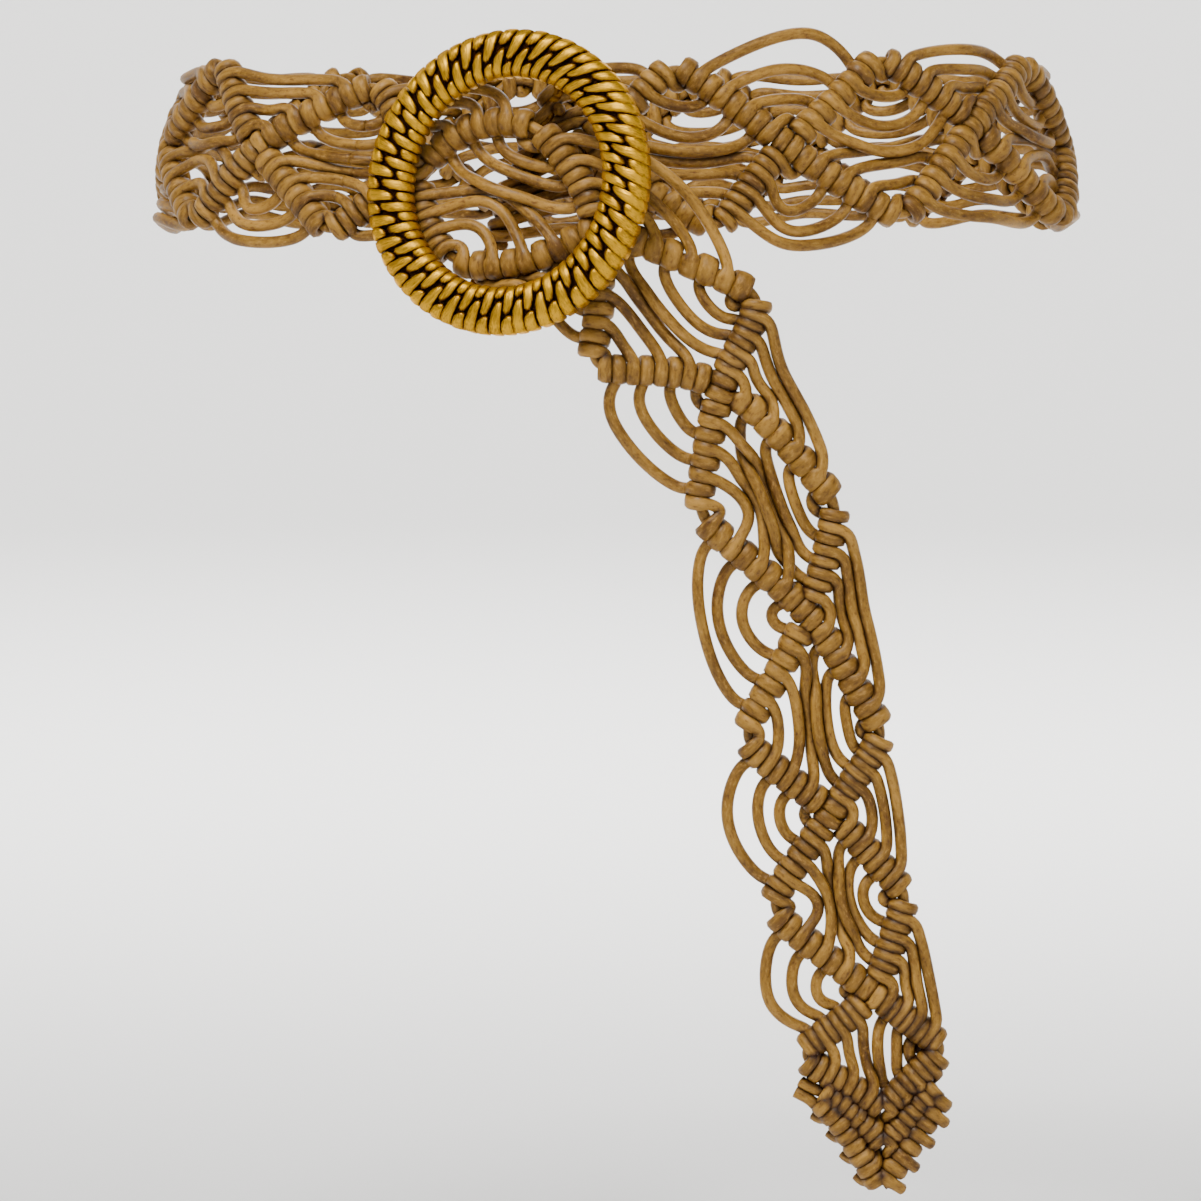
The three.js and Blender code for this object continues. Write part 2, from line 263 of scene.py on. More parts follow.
def row_frame(row, reach):
    """Point, direction, outward face and inward way at a distance along a row."""
    run, *fields = row
    return [np.array([np.interp(reach, run, field[:, i]) for i in range(3)]) for field in fields]


def tie(frame_at, middle, turn, merge, along, tight=1.0):
    """Points, row axis and flattening of one hitch, from its smooth end to its tucked end."""
    skew = chance.uniform(-0.1, 0.1)
    swell = tight * chance.uniform(0.97, 1.05)
    points, axes = [], []
    for across, out, share, _ in HITCH:
        here, axis, facing, flank = frame_at(middle + (share * along + skew * across / 6) * turn)
        points.append(here + flank * merge * across * swell + facing * out * swell)
        axes.append(axis)
    # a turn is a little wider than its share of the row, so that it presses on the next
    spread = abs(turn) / 2 * 1.06 / CORD_RADIUS
    return np.array(points), np.array(axes), HITCH[:, 3] * np.where(HITCH[:, 3] < 1, 1.0, max(spread, 1.0))


def sweep_between(start, start_way, end, end_way, count):
    """A smooth run of cord between two points that leaves and arrives in the given directions."""
    reach = np.linalg.norm(end - start)
    f = np.linspace(0, 1, count + 2)[1:-1, None]
    return ((2 * f ** 3 - 3 * f * f + 1) * start + (f ** 3 - 2 * f * f + f) * start_way * reach
            + (3 * f * f - 2 * f ** 3) * end + (f ** 3 - f * f) * end_way * reach)


# How far from the middle line the four loose cords of each side hang, upper side then lower, nearest the crossing
# first: across the diamonds where they sag inwards, and beside the crossings where they bow outwards. The first
# entry holds for every place that isn't listed.
SAG = {None: ((-0.5, 4.5, 11.0, 17.2), (-0.5, 4.5, 11.0, 17.2)),
       0: ((-1.6, 2.0, 11.0, 17.0), (4.5, 8.0, 13.0, 17.5)),
       1: ((-4.6, 2.8, 11.0, 17.2), (3.0, 7.5, 14.0, 18.0)),
       10: ((-0.7, 4.1, 10.0, 17.2), (3.7, 7.1, 11.7, 17.5)),
       11: ((1.2, 7.4, 12.0, 17.2), (-1.5, 2.8, 10.4, 17.5)),
       12: ((0.3, 5.4, 11.1, 15.5), (2.9, 7.3, 13.9, 18.0)),
       13: ((-0.5, 4.5, 10.0, 15.0), (-1.5, 1.0, 4.5, 13.4)),
       14: ((1.5, 5.2, 11.3, 16.0), (1.5, 4.3, 11.0, 17.5)),
       15: ((0.3, 2.7, 7.2, 13.8), (1.5, 3.0, 4.5, 14.0)),
       16: ((1.3, 8.5, 12.5, 17.0), (3.2, 8.0, 13.0, 17.5))}
BOW = {None: ((7.5, 11.8, 16.0, 20.4), (7.5, 11.8, 16.0, 20.4)),
       0: ((7.0, 11.0, 16.0, 22.0), (7.5, 12.0, 17.0, 22.5)),
       1: ((8.0, 13.7, 22.0, 32.0), (9.0, 19.5, 25.0, 28.5)),
       2: ((7.0, 10.5, 16.0, 22.0), (9.0, 15.5, 21.5, 26.5)),
       10: ((7.0, 10.7, 15.9, 20.0), (9.0, 18.5, 23.0, 27.0)),
       11: ((8.0, 15.0, 23.5, 28.5), (8.0, 12.0, 16.0, 20.0)),
       12: ((8.0, 13.0, 18.0, 26.0), (8.0, 13.0, 19.0, 25.0)),
       13: ((6.5, 10.0, 14.5, 18.0), (8.5, 15.5, 25.0, 33.5)),
       14: ((6.5, 10.5, 14.5, 18.5), (13.5, 23.0, 30.0, 36.0)),
       15: ((7.4, 14.0, 17.8, 22.0), (10.0, 18.2, 25.0, 35.0)),
       16: ((7.0, 11.0, 15.0, 19.3), (11.0, 19.3, 26.3, 34.7))}
# the few whose lowest or highest point lies before or after halfway, by place, side and cord
LATER = {(1, 1, 3): 0.12, (1, -1, 1): -0.05, (11, 1, 2): 0.12, (11, 1, 3): 0.2}
# how far out from the strap's face the middles of the four cords hang, upper side and lower side
OUT = {1: (1.8, -0.3, 0.6, 0.8), -1: (-1.5, 0.2, 0.2, 0.4)}
LAST_CELL = 16
rows = {(k, side, rising): row_of_knots(k, side, rising)
        for k in range(LAST_CELL + 1) for side in (1, -1) for rising in (True, False)}
# two more rows close under the last diamond: place of the middle, place of the corner, corner's way out
TIP_ROWS = {17: (17.23, 16.79, 20.0), 18: (17.47, 16.86, 21.5)}
for k, (middle_place, corner_place, corner_across) in TIP_ROWS.items():
    for side in (1, -1):
        share = np.linspace(0, 1, 61)
        places = middle_place + (corner_place - middle_place) * share
        rows[k, side, False] = laid_row(on_strap(places, side * corner_across * share), places, on_strap(16.5, 0))


class Run:
    """One cord as it is laid: its points, the axis of the row at each and how flat it is pulled there."""
    def __init__(self):
        self.points, self.axes, self.flat, self.places = [], [], [], []

    def add(self, points, axes, flat, place):
        self.points.extend(points)
        self.axes.extend(axes)
        self.flat.extend(flat)
        self.places.extend([place] * len(points))

    def free(self, points, place):
        self.add(points, np.zeros_like(points), np.zeros(len(points)), place)


# loose cord before and after its middle differs by this much in place, so that pieces are divided at the middle
HALF_HANG = 0.01
# points of loose cord lie this many mm apart, and it leaves a knot in a mix of its knot's way and the straight
LOOSE_STEP = 2.0
KNOT_WAY, STRAIGHT_WAY = 0.35, 0.8


def hang(run, end, end_way, middle, middle_way, place):
    """Lays free cord from the last point of a run through one middle point to the next hitch."""
    start, start_way = run.points[-1], unit(run.points[-1] - run.points[-2])
    way = unit(KNOT_WAY * start_way + STRAIGHT_WAY * unit(middle - start))
    arrive = unit(KNOT_WAY * end_way + STRAIGHT_WAY * unit(end - middle))
    count = max(2, int(np.linalg.norm(middle - start) / LOOSE_STEP))
    run.free(sweep_between(start, way, middle, middle_way, count), place - HALF_HANG)
    run.free([middle], place)
    count = max(2, int(np.linalg.norm(end - middle) / LOOSE_STEP))
    run.free(sweep_between(middle, middle_way, end, arrive, count), place + HALF_HANG)


# the cords run on smoothly from their knots at the flank that the slope decides, and from this diamond on at the
# flank that the side decides, as the photo shows for the free end
FLANK_BY_SIDE = 7


def knot_on_row(k, side, rising, j):
    """The hitch of working cord j on a row, in the order in which the cord is laid."""
    row = rows[k, side, rising]
    room = TIP_ROOM if k >= LAST_CELL and not rising else CROSSING_ROOM
    turn = (row[0][-1] - room - CORNER_ROOM) / 8
    reach = room + 2 * turn * (j + 0.5)
    on_inner = (side < 0) if k >= FLANK_BY_SIDE else rising
    merge = 1.0 if on_inner else -1.0
    tight = TIP_TIGHT if k in TIP_ROWS else 1.0
    points, axes, flat = tie(lambda a: row_frame(row, a), reach, turn, merge, merge, tight)
    if on_inner == rising:
        points, axes, flat = points[::-1], axes[::-1], flat[::-1]
    return points, axes, flat


def middle_of(place, side, table, j, k):
    """Middle point of a loose cord and its way there, from the table of sag or bow."""
    place += LATER.get((place, side, j), 0.0)
    across = side * (table.get(k, table[None])[0 if side > 0 else 1][j] + chance.uniform(-0.4, 0.4))
    point = on_strap(place, across, OUT[side][j] + chance.uniform(-0.25, 0.25))
    return point, strap_axes(np.array(float(place)))[0]


# Buckle, its lie. The ring stands in front of the waist, its lower right side lifted by the strap that comes
# out from under it. A plain bar crosses behind it on two short legs, and the strap's fixed end is looped on it.
# outer and inner radius and height of the front above the ring's middle plane
RING_OUTER, RING_INNER, RING_THICK = 42.5, 29.2, 4.3
RING_TILT, RING_TURN = math.radians(26.4), math.radians(22.6)
ring_middle = np.array([-29.5, -WAIST_HALF_DEPTH - 15.5, -9.5])
ring_along = np.array([math.cos(RING_TURN) * math.cos(RING_TILT), -math.sin(RING_TILT),
                       -math.sin(RING_TURN) * math.cos(RING_TILT)])
ring_up = np.array([math.sin(RING_TURN), 0, math.cos(RING_TURN)])
ring_facing = np.cross(ring_along, ring_up)
# the bar: its radius, how far behind the ring's middle plane it lies and how far to the left
BAR_RADIUS, BAR_BACK, BAR_SHIFT = 2.0, 16.0, -5.0


def in_ring(along, up, facing):
    """Points in the ring's own axes: to its right, up, and out towards its front."""
    along, up, facing = np.broadcast_arrays(*(np.asarray(v, float) for v in (along, up, facing)))
    return (ring_middle + ring_along * along[..., None] + ring_up * up[..., None]
            + ring_facing * facing[..., None])


# Strap, its ten cords. Eight are tied on and two carry the rows; the two carriers cross between the diamonds,
# one hitched twice round the other. They start on the buckle's bar and end in the close rows of the tip.
def loop_on_bar(up):
    """The fixed end of a cord: three quarters of a turn round the hidden bar, leaving to the right."""
    angles, reach = np.radians(np.arange(150, -121, -30)), BAR_RADIUS + CORD_RADIUS
    return in_ring(BAR_SHIFT - reach * np.sin(angles), up, -BAR_BACK - reach * np.cos(angles))[::-1]


cord_runs = []
# how far up and down the bar the cords of each side are looped on, and the room for the carriers between them
ON_BAR = {1: (3.6, 8.0, 14.0, 22.0), -1: (3.6, 7.4, 11.2, 15.0)}
BAR_ROOM = 1.8
# the carriers: on the bar, steps along a row, and the ends of a row that they leave free
CARRIER_ON_BAR, CARRIER_STEP = 2.0, 2.0
HITCHED_START, PLAIN_START, CORNER_END = 6.5, 1.5, 0.8
# width and tightness of the hitch at a crossing
CROSSING_TURN, CROSSING_TIGHT = 3.9, 1.03
for side in (1, -1):
    for j in range(4):
        run = Run()
        run.free(loop_on_bar(side * (ON_BAR[side][j] + BAR_ROOM)), -0.5)
        for k in range(LAST_CELL + 1):
            points, axes, flat = knot_on_row(k, side, True, j)
            point, way = middle_of(k, side, BOW, j, k)
            hang(run, points[0], unit(points[1] - points[0]), point, way, k)
            run.add(points, axes, flat, k + 0.25)
            points, axes, flat = knot_on_row(k, side, False, j)
            point, way = middle_of(k + 0.5, side, SAG, j, k)
            hang(run, points[0], unit(points[1] - points[0]), point, way, k + 0.5)
            run.add(points, axes, flat, k + 0.75)
        for k in TIP_ROWS:
            run.add(*knot_on_row(k, side, False, j), 17.5)
        run.free([run.points[-1] + 2.0 * unit(run.points[-1] - run.points[-2])], 17.5)
        cord_runs.append(run)

# carriers: along the rows, with one of them hitched round the other at every crossing
for holder in (0, 1):
    run = Run()
    run.free(loop_on_bar(CARRIER_ON_BAR if holder else -CARRIER_ON_BAR), -0.5)
    for k in range(LAST_CELL + 1):
        side = 1 if (k + holder) % 2 == 0 else -1
        if holder == 1:
            core = rows[k, -side, True]
            before = rows[k - 1, side, False] if k else rows[k, -side, True]

            def crossing_frame(a, core=core):
                facing = row_frame(core, 0.4)[2]
                axis = unit(rows[k, -side, True][1][3] - (before[1][3] if k else core[1][0]))
                facing = unit(facing - axis * np.dot(facing, axis))
                flank = np.cross(facing, axis)
                flank = flank * np.sign(np.dot(flank, rows[k, side, True][2][0]))
                return core[1][0] + axis * a, axis, facing, flank
            points, axes, flat = tie(crossing_frame, 0.0, CROSSING_TURN, 1.0, 1.0, CROSSING_TIGHT)
            run.add(points[::-1][1:-1], axes[::-1][1:-1], flat[::-1][1:-1], k)
        start = HITCHED_START if holder == 1 else PLAIN_START
        for rising in (True, False):
            row = rows[k, side, rising]
            steps = np.arange(start, row[0][-1] - CORNER_END, CARRIER_STEP)
            points = np.array([row_frame(row, a)[0] for a in (steps if rising else steps[::-1])])
            run.free(points, k + (0.25 if rising else 0.75))
            if rising:
                run.free([row[1][-1]], k + 0.5)
    cord_runs.append(run)

# the short cores of the tip's close rows, whose cut ends show at the left
for k, side in ((k, side) for k in TIP_ROWS for side in (1, -1)):
    run, row = Run(), rows[k, side, False]
    run.free([row_frame(row, a)[0] for a in np.arange(0.5, row[0][-1] - 1.0, CARRIER_STEP)], 17.5)
    if side < 0:
        here, axis, facing, flank = row_frame(row, row[0][-1])
        run.free([here + axis * 1.5, here + axis * 4.5 - flank * (k - 16) * 1.5 - facing], 17.5)
    cord_runs.append(run)


# Cord, its make. Round cord of 3.4 mm: waxed cotton over a core, smooth like leather, camel brown, darker in
# flecks where the wax has gathered, with scuffed paler spots and with painted shade where cords touch. Fine fibre
# lines run along it.
def cord_colours():
    # waxed cotton: a satin film over fibre, so a broad soft highlight and no mirror gloss
    material, tree, shader = new_material("waxed_cotton_cord", "#b0783c", 0.52)
    shader.inputs["Specular IOR Level"].default_value = 0.42
    shader.inputs["Specular Tint"].default_value = linear("#fff0dc")
    lay = add_node(tree, "ShaderNodeAttribute", {"attribute_name": "lay"})
    lay_point = lay.outputs["Vector"]
    # broad tone: patches a few centimetres long where the dye took deeper
    stretched = add_node(tree, "ShaderNodeMapping", {"Scale": (0.22, 0.22, 0.05)}, {"Vector": lay_point})
    patches = add_node(tree, "ShaderNodeTexNoise", {"Scale": 1.0, "Detail": 3.0, "Roughness": 0.55},
                       {"Vector": stretched.outputs["Vector"]})
    tones = add_node(tree, "ShaderNodeValToRGB", (), {"Fac": patches.outputs["Fac"]})
    ramp = tones.color_ramp
    ramp.elements[0].position, ramp.elements[0].color = 0.3, linear("#5f3c0c")
    ramp.elements[1].position, ramp.elements[1].color = 0.72, linear("#b68739")
    middle_tone = ramp.elements.new(0.5)
    middle_tone.color = linear("#8c6420")
    # scuffs: 1 to 2 mm flecks, paler where the wax is rubbed and darker where it has gathered
    flecked = add_node(tree, "ShaderNodeMapping", {"Scale": (1.1, 1.1, 0.5)}, {"Vector": lay_point})
    flecks = add_node(tree, "ShaderNodeTexNoise", {"Scale": 1.0, "Detail": 4.0, "Roughness": 0.65},
                      {"Vector": flecked.outputs["Vector"]})
    dark = add_node(tree, "ShaderNodeMapRange", {"From Min": 0.47, "From Max": 0.27, "To Max": 0.85},
                    {"Value": flecks.outputs["Fac"]})
    darkened = add_node(tree, "ShaderNodeMix",
                        {"data_type": "RGBA", "blend_type": "MULTIPLY", 7: linear("#7d5228")},
                        {0: dark.outputs["Result"], 6: tones.outputs["Color"]})
    pale = add_node(tree, "ShaderNodeMapRange", {"From Min": 0.53, "From Max": 0.75, "To Max": 0.65},
                    {"Value": flecks.outputs["Fac"]})
    scuffed = add_node(tree, "ShaderNodeMix", {"data_type": "RGBA", 7: linear("#c6964c")},
                       {0: pale.outputs["Result"], 6: darkened.outputs[2]})
    # painted shade where cords touch: the cord is darkened the closer other cord lies
    touching = add_node(tree, "ShaderNodeAttribute", {"attribute_name": "painted_crevice_shade"})
    crevice_shade_amount = add_node(tree, "ShaderNodeMath", {"operation": "POWER", 1: 0.95}, {0: touching.outputs["Fac"]})
    crevice_shaded_colour = add_node(tree, "ShaderNodeMix",
                       {"data_type": "RGBA", "blend_type": "MULTIPLY", 7: linear("#4b2707")},
                       {0: crevice_shade_amount.outputs["Value"], 6: scuffed.outputs[2]})
    tree.links.new(crevice_shaded_colour.outputs[2], shader.inputs["Base Color"])
    # fibre lines along the cord, a little coarser than the real fibres so that they show
    fibres = add_node(tree, "ShaderNodeTexNoise", {"Scale": 1.0, "Detail": 3.0, "Roughness": 0.6},
                      {"Vector": add_node(tree, "ShaderNodeMapping", {"Scale": (1.6, 1.6, 0.16)},
                                          {"Vector": lay_point}).outputs["Vector"]})
    bump = add_node(tree, "ShaderNodeBump", {"Strength": 0.28, "Distance": 0.0006},
                    {"Height": fibres.outputs["Fac"]})
    grain = add_node(tree, "ShaderNodeBump", {"Strength": 0.16, "Distance": 0.0004},
                     {"Height": flecks.outputs["Fac"], "Normal": bump.outputs["Normal"]})
    tree.links.new(grain.outputs["Normal"], shader.inputs["Normal"])
    # the rubbed flecks are duller than the gathered wax
    rough = add_node(tree, "ShaderNodeMapRange",
                     {"From Min": 0.3, "From Max": 0.7, "To Min": 0.36, "To Max": 0.6},
                     {"Value": flecks.outputs["Fac"]})
    tree.links.new(rough.outputs["Result"], shader.inputs["Roughness"])
    return material


waxed_cotton = cord_colours()
# corners round a cord, and how far apart the cords lie in the noise that colours them
SIDES, NOISE_STEP = 10, 17.0
# cord counts as tight from this share of flattening on
TIGHT_FROM = 0.2


def evened(run, turn_step=1.1, free_step=1.3):
    """The run again with points at even steps, closer together in the tight turns."""
    points = np.array(run.points)
    flat, axes, places = np.array(run.flat), np.array(run.axes), np.array(run.places)
    padded = np.concatenate([[2 * points[0] - points[1]], points, [2 * points[-1] - points[-2]]])
    fine, fine_at = [], []
    for f in np.linspace(0, 1, 8, endpoint=False):
        a, b, c, d = padded[:-3], padded[1:-2], padded[2:-1], padded[3:]
        fine.append((a * (2 * f * f - f - f ** 3) + b * (2 - 5 * f * f + 3 * f ** 3)
                     + c * (f + 4 * f * f - 3 * f ** 3) + d * (f ** 3 - f * f)) / 2)
        fine_at.append(np.arange(len(b)) + f)
    fine = np.concatenate([np.stack(fine, 1).reshape(-1, 3), points[-1:]])
    fine_at = np.concatenate([np.stack(fine_at, 1).ravel(), [len(points) - 1]])
    lengths = np.linalg.norm(np.diff(fine, axis=0), axis=1)
    run_mm = np.concatenate([[0], np.cumsum(lengths)])
    tight = np.interp((fine_at[1:] + fine_at[:-1]) / 2, np.arange(len(points)), flat) > TIGHT_FROM
    count = np.concatenate([[0], np.cumsum(lengths / np.where(tight, turn_step, free_step))])
    wanted = np.linspace(0, count[-1], int(count[-1]) + 1)
    at = np.interp(wanted, count, fine_at)
    numbers = np.arange(len(points))
    return (np.array([np.interp(wanted, count, fine[:, i]) for i in range(3)]).T,
            np.array([np.interp(at, numbers, axes[:, i]) for i in range(3)]).T,
            np.interp(at, numbers, flat), np.interp(at, numbers, places), np.interp(wanted, count, run_mm))


def cord_mesh(name, stretches, owners):
    """Round tubes along the stretches, flattened where they are pulled tight round a row."""
    curve = bpy.data.curves.new(name + "_line", "CURVE")
    curve.dimensions = "3D"
    curve.bevel_depth = CORD_RADIUS * MM
    curve.bevel_resolution = 3
    curve.use_fill_caps = True
    for points, *_ in stretches:
        line = curve.splines.new("POLY")
        line.points.add(len(points) - 1)
        line.points.foreach_set("co", np.column_stack([points * MM, np.ones(len(points))]).ravel())
    line_object = bpy.data.objects.new(name + "_line", curve)
    bpy.context.scene.collection.objects.link(line_object)
    bpy.context.view_layer.update()
    tube = bpy.data.meshes.new_from_object(line_object.evaluated_get(bpy.context.evaluated_depsgraph_get()))
    bpy.data.objects.remove(line_object)
    bpy.data.curves.remove(curve)
    # the mesh lists the end caps of the last line first, then every tube ring by ring
    firsts = np.cumsum([0] + [len(stretch[0]) for stretch in stretches])
    caps = [(firsts[i + 1] - 1, firsts[i]) for i in reversed(range(len(stretches)))]
    ring = np.repeat(np.concatenate([np.ravel(caps), np.arange(firsts[-1])]).astype(int), SIDES)
    way = np.concatenate([unit(np.gradient(stretch[0], axis=0)) for stretch in stretches])
    points, axes, flat, _, reach = (np.concatenate(field) for field in zip(*stretches))
    thin = np.cross(way, axes)
    thin = (thin / np.maximum(np.linalg.norm(thin, axis=1, keepdims=True), 1e-6))[ring]
    wide = np.cross(way[ring], thin)
    corners = np.empty(len(tube.vertices) * 3)
    tube.vertices.foreach_get("co", corners)
    offset = corners.reshape(-1, 3) / MM - points[ring]
    share = np.minimum(flat, 1)[ring][:, None]
    # turns that lie side by side press each other flat, so that their section is nearly square
    squared = sum(np.abs(np.sum(offset * way_of, axis=1, keepdims=True) / CORD_RADIUS) ** 3
                  for way_of in (thin, wide)) ** (1 / 3)
    offset = offset * (1 + share * (1 / np.maximum(squared, 0.75) - 1))
    spread = np.maximum(flat, 1)[ring][:, None] - 1
    offset = (offset - (1 - FLAT) * share * np.sum(offset * thin, axis=1, keepdims=True) * thin
              + spread * np.sum(offset * wide, axis=1, keepdims=True) * wide)
    laid = points[ring] + offset
    tube.vertices.foreach_set("co", (laid * MM).ravel())
    owner = np.repeat(owners, [len(stretch[0]) for stretch in stretches])
    # painted shade between cords: how close other cord lies to each corner, kept for the material to darken
    close = np.concatenate([crevices(points[ring[i]], owner[ring[i]], reach[ring[i]], laid[i:i + SIDES])
                            for i in range(0, len(ring), SIDES)])
    tube.attributes.new("painted_crevice_shade", "FLOAT", "POINT").data.foreach_set("value", close)
    angle = np.tile(np.arange(SIDES), len(ring) // SIDES) * 2 * np.pi / SIDES
    lay = np.column_stack([CORD_RADIUS * np.cos(angle) + NOISE_STEP * owner[ring], CORD_RADIUS * np.sin(angle),
                           reach[ring]])
    tube.attributes.new("lay", "FLOAT_VECTOR", "POINT").data.foreach_set("vector", lay.ravel())
    shape = bmesh.new()
    shape.from_mesh(tube)
    bmesh.ops.remove_doubles(shape, verts=shape.verts, dist=1e-7)
    # only the cut ends have as many corners as the cord has sides, and they stay flat
    for face in shape.faces:
        face.smooth = len(face.verts) < SIDES
    shape.to_mesh(tube)
    shape.free()
    tube.materials.clear()
    tube.name = name
    return tube


even_runs = [evened(run) for run in cord_runs]
# cord of the same run counts as other cord when it lies this far along, in settling and in the painted crevice
# shade
OWN_WHEN_SETTLING, OWN_IN_CREVICE = 8, 4.5
# painted crevice shade: other cord is looked for within this distance, and shade is painted on what lies closer
# to its middle than this
CREVICE_SEARCH, CREVICE_FROM = 5.4, 2.75
# settling: loose enough to move, smallest gap counted, share of the push in a round, largest push, ease of bends
LOOSE_FROM, SMALLEST_GAP, PUSH_SHARE, LARGEST_PUSH, EASE = 0.3, 0.4, 0.25, 0.5, 0.5


def settle(runs, rounds=8):
    """Eases the bends of the loose cord and pushes cords apart that would run through each other."""
    owner = np.repeat(np.arange(len(runs)), [len(run[0]) for run in runs])
    reach = np.concatenate([run[4] for run in runs])
    loose = np.concatenate([1 - np.clip(run[2] * 1.2, 0, 1) for run in runs])
    changes = owner[1:] != owner[:-1]
    loose[np.concatenate([[True], changes]) | np.concatenate([changes, [True]])] = 0
    points = np.concatenate([run[0] for run in runs])
    for _ in range(rounds):
        tree = KDTree(len(points))
        for number, point in enumerate(points):
            tree.insert(point, number)
        tree.balance()
        push = np.zeros_like(points)
        for number in np.flatnonzero(loose > LOOSE_FROM):
            for place, other, gap in tree.find_range(points[number], 2 * CORD_RADIUS):
                if owner[other] != owner[number] or abs(reach[other] - reach[number]) > OWN_WHEN_SETTLING:
                    share = CORD_RADIUS / max(gap, SMALLEST_GAP) - 0.5
                    push[number] += (points[number] - place) * share * PUSH_SHARE
        points += np.clip(push, -LARGEST_PUSH, LARGEST_PUSH) * loose[:, None]
        for _ in range(2):
            bend = (points[:-2] + points[2:]) / 2 - points[1:-1]
            points[1:-1] += EASE * loose[1:-1, None] * bend
    firsts = np.cumsum([0] + [len(run[0]) for run in runs])
    return [(points[firsts[i]:firsts[i + 1]], *run[1:]) for i, run in enumerate(runs)]


even_runs = settle(even_runs)
line_points = np.concatenate([run[0] for run in even_runs])
line_owner = np.repeat(np.arange(len(even_runs)), [len(run[0]) for run in even_runs])
line_reach = np.concatenate([run[4] for run in even_runs])
line_tree = KDTree(len(line_points))
for number, point in enumerate(line_points):
    line_tree.insert(point, number)
line_tree.balance()


def crevices(centre, owner, reach, corners):
    """How close other cord lies to each corner of one ring of the tube, 1 where they touch: the mask of the
    painted shade between cords.
    """
    close = np.array([found[1] for found in line_tree.find_range(centre, CREVICE_SEARCH)], int)
    close = close[(line_owner[close] != owner) | (np.abs(line_reach[close] - reach) > OWN_IN_CREVICE)]
    if not len(close):
        return np.zeros(len(corners))
    nearest = np.linalg.norm(corners[:, None] - line_points[close][None], axis=2).min(axis=1)
    return np.clip(CREVICE_FROM - nearest, 0, 1)


# the two pieces, their first and last place and the solids that they stand for; they meet behind the ring's left
STRETCHES = [
    ("waist_loop_cords", -1.0, 10.5, ["strap_fixed_end"] + [f"waist_strap_{n}" for n in range(1, 11)]),
    ("free_end_cords", 10.5, 18.0, ["ring_strap_1", "ring_strap_2"] + [f"tail_strap_{n}" for n in range(1, 5)]
     + ["tail_tip"])]
for name, low, high, nodes in STRETCHES:
    parts, owners = [], []
    for number, run in enumerate(even_runs):
        inside = np.flatnonzero((run[3] >= low) & (run[3] < high))
        if len(inside):
            end = min(inside[-1] + 2, len(run[3]))
            parts.append([field[inside[0]:end] for field in run])
            owners.append(number)
    piece = show(name, cord_mesh(name, parts, owners), waxed_cotton)
    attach(piece, "root")
    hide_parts(*nodes)


# Buckle, its make. One moulded resin ring of 85 mm, its front shaped like plaited cane: long and short pads lie
# slantwise across it, thirty-four times round, with a brown stain rubbed into the grooves.
PADS = 34
# the ring's rounded section: half the angle that its skin covers, how square it is, how far it lies inside the
# ring's full width and thickness
SKIN_ANGLE, SKIN_SQUARE, SKIN_INSET = 112, 0.72, 0.9


def ring_skin(turn, across, lift=0.0):
    """A point on the ring: turn round it, across from -1 at the inner back edge to 1 at the outer back edge."""
    angle = np.radians(90 - across * SKIN_ANGLE)
    mid, wide = (RING_OUTER + RING_INNER) / 2, (RING_OUTER - RING_INNER) / 2
    reach = mid + (wide - SKIN_INSET + lift) * np.sign(np.cos(angle)) * np.abs(np.cos(angle)) ** SKIN_SQUARE
    rise = (RING_THICK - SKIN_INSET + lift) * np.sign(np.sin(angle)) * np.abs(np.sin(angle)) ** SKIN_SQUARE
    return in_ring(reach * np.cos(turn), reach * np.sin(turn), rise)


def seen_share(across):
    """How far out a point of the ring's skin lies, seen from the front: 0 at the inner edge, 1 at the rim."""
    reach = math.cos(math.radians(90 - across * SKIN_ANGLE))
    return 0.5 + 0.5 * math.copysign(abs(reach) ** SKIN_SQUARE, reach)


# gilt resin: mostly metal in its answer to light, browner where the stain has stayed and where shade is painted
# at the pads' sides and edges
resin, resin_tree, resin_shader = new_material("stained_moulded_resin", "#c29a2e", 0.36)
resin_shader.inputs["Metallic"].default_value = 0.8
resin_shader.inputs["Specular Tint"].default_value = linear("#ffe2a8")
crown = add_node(resin_tree, "ShaderNodeAttribute", {"attribute_name": "crown"})
grain_at = add_node(resin_tree, "ShaderNodeAttribute", {"attribute_name": "lay"}).outputs["Vector"]
along_pads = add_node(resin_tree, "ShaderNodeMapping", {"Scale": (0.45, 1.7, 1.0)}, {"Vector": grain_at})
streaks = add_node(resin_tree, "ShaderNodeTexNoise", {"Scale": 1.0, "Detail": 4.0, "Roughness": 0.6},
                   {"Vector": along_pads.outputs["Vector"]})
stain_height = add_node(resin_tree, "ShaderNodeMath", {"operation": "MULTIPLY_ADD", 1: 1.1, 2: -0.62},
                        {0: streaks.outputs["Fac"]})
height = add_node(resin_tree, "ShaderNodeMath", {"operation": "ADD"},
                  {0: crown.outputs["Fac"], 1: stain_height.outputs["Value"]})
gilding = add_node(resin_tree, "ShaderNodeValToRGB", (), {"Fac": height.outputs["Value"]})
gilding.color_ramp.elements[0].position, gilding.color_ramp.elements[0].color = 0.12, linear("#2a0f03")
gilding.color_ramp.elements[1].position, gilding.color_ramp.elements[1].color = 0.95, linear("#dda61d")
for spot, colour in ((0.32, "#55300a"), (0.54, "#91620e"), (0.76, "#b98816")):
    gilding.color_ramp.elements.new(spot).color = linear(colour)
resin_tree.links.new(gilding.outputs["Color"], resin_shader.inputs["Base Color"])
scored = add_node(resin_tree, "ShaderNodeBump", {"Strength": 0.45, "Distance": 0.0004},
                  {"Height": streaks.outputs["Fac"]})
resin_tree.links.new(scored.outputs["Normal"], resin_shader.inputs["Normal"])

